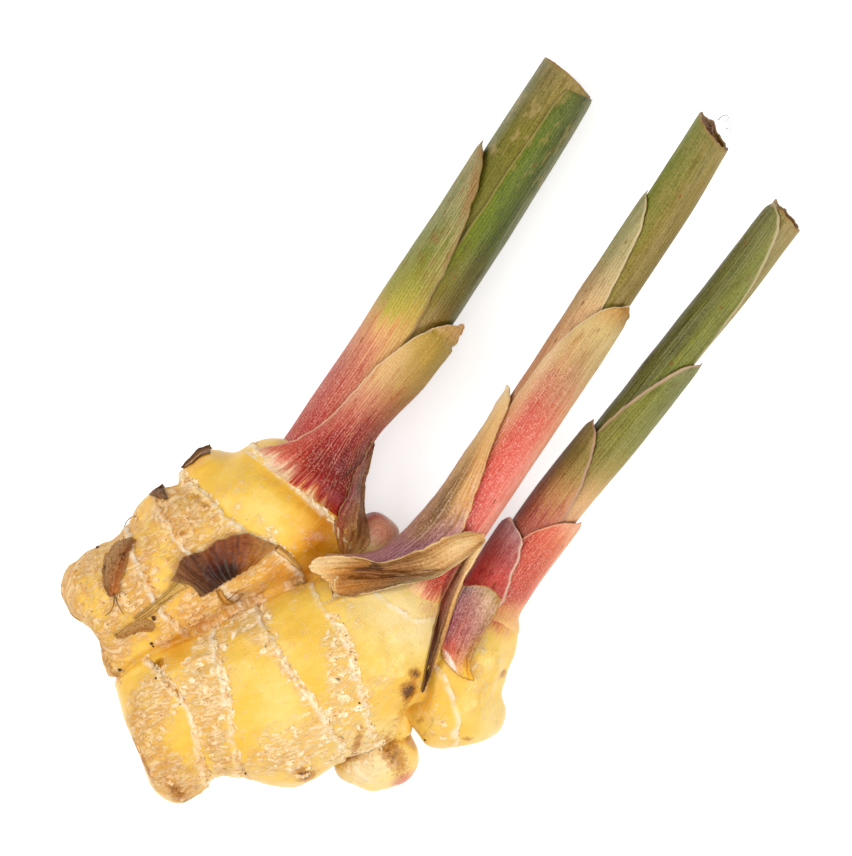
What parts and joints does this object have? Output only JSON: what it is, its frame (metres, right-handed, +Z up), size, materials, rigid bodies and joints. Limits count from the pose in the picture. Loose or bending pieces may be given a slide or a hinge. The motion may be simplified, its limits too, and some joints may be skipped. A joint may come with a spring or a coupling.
{
  "type": "galangal rhizome",
  "caption": "Young galangal lying down: a knobbly yellow rhizome with papery scales and cut leafy shoots wrapped in pink and green sheaths.",
  "frame": {"origin": "centre of the bounding box's bottom face, on the surface the plant lies on", "axes": "+Y along the shoots towards their cut ends, +Z up, +X to the right seen from above with the shoots pointing away"},
  "size_m": [0.1049, 0.2037, 0.037],
  "materials": {
    "rhizome_skin": "waxy yellow flesh under thin papery beige skin",
    "green_leaf": "satin, finely ribbed lengthwise",
    "olive_leaf": "satin, finely ribbed lengthwise",
    "green_pink_sheath": "satin, green above and peach to red below",
    "red_sheath": "satin, red with pale ribs and a tan tip",
    "purple_sheath": "satin, speckled purple with a dry edge",
    "dry_husk": "matt, dry and fibrous",
    "dark_scale": "matt, dry, dark veins"
  },
  "bodies": {
    "root": {"rhizome": "rhizome_skin", "left_shoot_core": "green_leaf", "left_shoot_inner_sheath": "green_leaf", "left_shoot_middle_sheath": "green_pink_sheath", "left_shoot_outer_sheath": "red_sheath", "middle_shoot_core": "olive_leaf", "middle_shoot_inner_sheath": "green_pink_sheath", "middle_shoot_pink_sheath": "red_sheath", "middle_shoot_long_husk": "dry_husk", "middle_shoot_curled_husk": "dry_husk", "middle_shoot_husk_shred": "dark_scale", "right_shoot_core": "olive_leaf", "right_shoot_green_sheath": "green_leaf", "right_shoot_collar_sheath": "green_pink_sheath", "right_shoot_olive_sheath": "olive_leaf", "right_shoot_red_sheath": "red_sheath", "right_shoot_purple_sheath": "purple_sheath", "right_shoot_torn_sheath": "purple_sheath", "fan_scale": "dark_scale", "long_scale_shred": "dry_husk", "dark_bud_scale": "dark_scale", "small_bud_scale": "dark_scale", "upper_flank_scale": "dark_scale", "lower_flank_scale": "dark_scale"}
  },
  "joints": []
}
